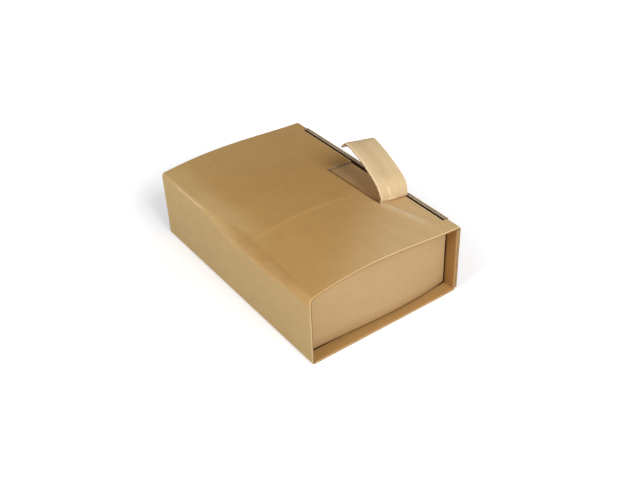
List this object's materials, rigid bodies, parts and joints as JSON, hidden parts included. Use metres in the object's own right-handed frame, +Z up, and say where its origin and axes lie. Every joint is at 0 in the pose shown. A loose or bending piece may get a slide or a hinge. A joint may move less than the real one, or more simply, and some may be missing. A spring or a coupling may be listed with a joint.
{
  "type": "cardboard book mailer",
  "caption": "Closed corrugated book mailer with raised end rims, a bowed lid and a tear strip pulled up from the lid beside its slot.",
  "frame": {"origin": "middle of the underside, at the centre of the part's footprint", "axes": "+X across the pack to the side with the closing flap, +Y along the pack to its back end, +Z up through the lid"},
  "size_m": [0.228, 0.343, 0.1592],
  "materials": {
    "outer_kraft": "matt brown kraft corrugated board",
    "inner_kraft": "matt brown kraft corrugated board"
  },
  "bodies": {
    "root": {"outer_wrap": "outer_kraft", "inner_tray": "inner_kraft"}
  },
  "joints": []
}
